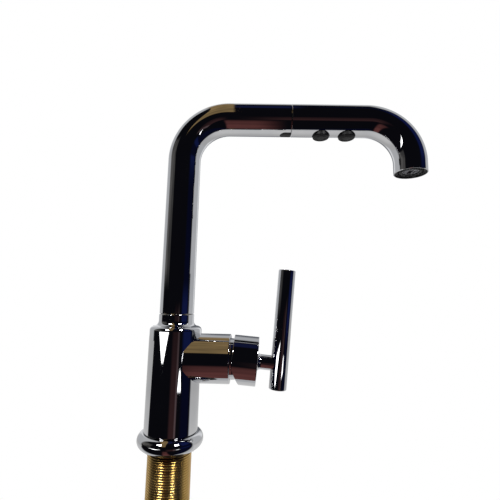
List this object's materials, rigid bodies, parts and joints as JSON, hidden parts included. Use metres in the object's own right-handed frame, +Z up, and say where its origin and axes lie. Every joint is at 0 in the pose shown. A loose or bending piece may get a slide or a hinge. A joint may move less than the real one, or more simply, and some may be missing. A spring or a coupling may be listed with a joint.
{
  "type": "pull-out kitchen mixer tap",
  "caption": "Single-lever kitchen mixer tap: slim L-shaped swivel spout, pull-out spray head with push buttons, side lever with a bar handle, threaded fixing shank.",
  "frame": {"origin": "where the tap's vertical axis meets the worktop, in the plane of the base gasket's underside", "axes": "+Z up along the riser, +X along the arm and the lever, towards the spray head at rest"},
  "size_m": [0.2387, 0.052, 0.3812],
  "materials": {
    "chrome": "mirror-polished chrome plate",
    "brass": "bare machined brass",
    "copper": "drawn copper pipe",
    "steel": "plain stainless steel",
    "rubber": "black rubber",
    "black_plastic": "moulded matt black plastic",
    "grey_plastic": "moulded grey plastic",
    "white_nylon": "natural nylon",
    "ceramic": "lapped alumina ceramic",
    "hose_braid": "braided grey nylon over a rubber hose"
  },
  "bodies": {
    "base": {"mixer_body": "chrome", "base_flange": "chrome", "base_gasket": "rubber", "threaded_shank": "brass", "fibre_washer": "rubber", "steel_washer": "steel", "mounting_nut": "brass", "hot_inlet_pipe": "copper", "cold_inlet_pipe": "copper", "mixed_outlet_pipe": "copper", "waterway_block": "brass", "cartridge_housing": "white_nylon", "hot_seal": "rubber", "cold_seal": "rubber", "mixed_seal": "rubber", "fixed_disc": "ceramic", "cartridge_nut": "brass", "bonnet_ball": "chrome", "thrust_washer": "white_nylon", "lower_bush": "white_nylon", "upper_bush": "white_nylon", "hose_tail": "brass"},
    "temperature": {"cartridge_carriage": "grey_plastic", "stem_pin": "steel"},
    "lever": {"lever_stem": "steel", "handle_hub": "chrome", "handle_bar": "chrome", "handle_stud": "steel", "handle_set_screw": "steel"},
    "mixing_disc": {"moving_disc": "ceramic", "disc_carrier": "black_plastic"},
    "spout": {"spout_tube": "chrome", "swivel_post": "brass", "retaining_clip": "steel", "dock_sleeve": "black_plastic", "pull_out_hose": "hose_braid"},
    "spray_head": {"head_shell": "chrome", "dock_spigot": "black_plastic", "hose_ferrule": "steel", "hose_coupling": "brass", "check_valve": "white_nylon", "diverter_housing": "black_plastic", "head_water_tube": "white_nylon", "spray_face": "black_plastic", "aerator": "grey_plastic", "aerator_screen": "grey_plastic"},
    "spray_key": {"spray_button": "black_plastic", "spray_plunger": "steel", "spray_spring": "steel"},
    "pause_key": {"pause_button": "black_plastic", "pause_plunger": "steel", "pause_spring": "steel"}
  },
  "joints": [
    {"name": "temperature_turn", "type": "hinge", "parent": "base", "child": "temperature", "pos_m": [0.0464, 0, 0.0676], "axis": [1, 0, 0], "range_deg": [-45, 45]},
    {"name": "lever_tilt", "type": "hinge", "parent": "temperature", "child": "lever", "pos_m": [0.0464, 0, 0.0676], "axis": [0, 1, 0], "range_deg": [-4.35, 19]},
    {"name": "disc_slide", "type": "slide", "parent": "temperature", "child": "mixing_disc", "axis": [0, 0, 1], "range_m": [-0.00095, 0.00415]},
    {"name": "spout_swivel", "type": "hinge", "parent": "base", "child": "spout", "pos_m": [0, 0, 0.1028], "axis": [0, 0, 1], "continuous": true},
    {"name": "head_pull_out", "type": "slide", "parent": "spout", "child": "spray_head", "axis": [1, 0, 0], "range_m": [0, 0.5], "deforming": ["pull_out_hose"]},
    {"name": "spray_press", "type": "slide", "parent": "spray_head", "child": "spray_key", "axis": [0, 0, 1], "range_m": [0, 0.0015], "stiffness_N_per_m": 900, "springref_m": -0.001, "deforming": ["spray_spring"]},
    {"name": "pause_press", "type": "slide", "parent": "spray_head", "child": "pause_key", "axis": [0, 0, 1], "range_m": [0, 0.0015], "stiffness_N_per_m": 900, "springref_m": -0.001, "deforming": ["pause_spring"]}
  ],
  "couplings": [
    {"joint": "disc_slide", "follows": "lever_tilt", "m_per_rad": 0.0124}
  ]
}
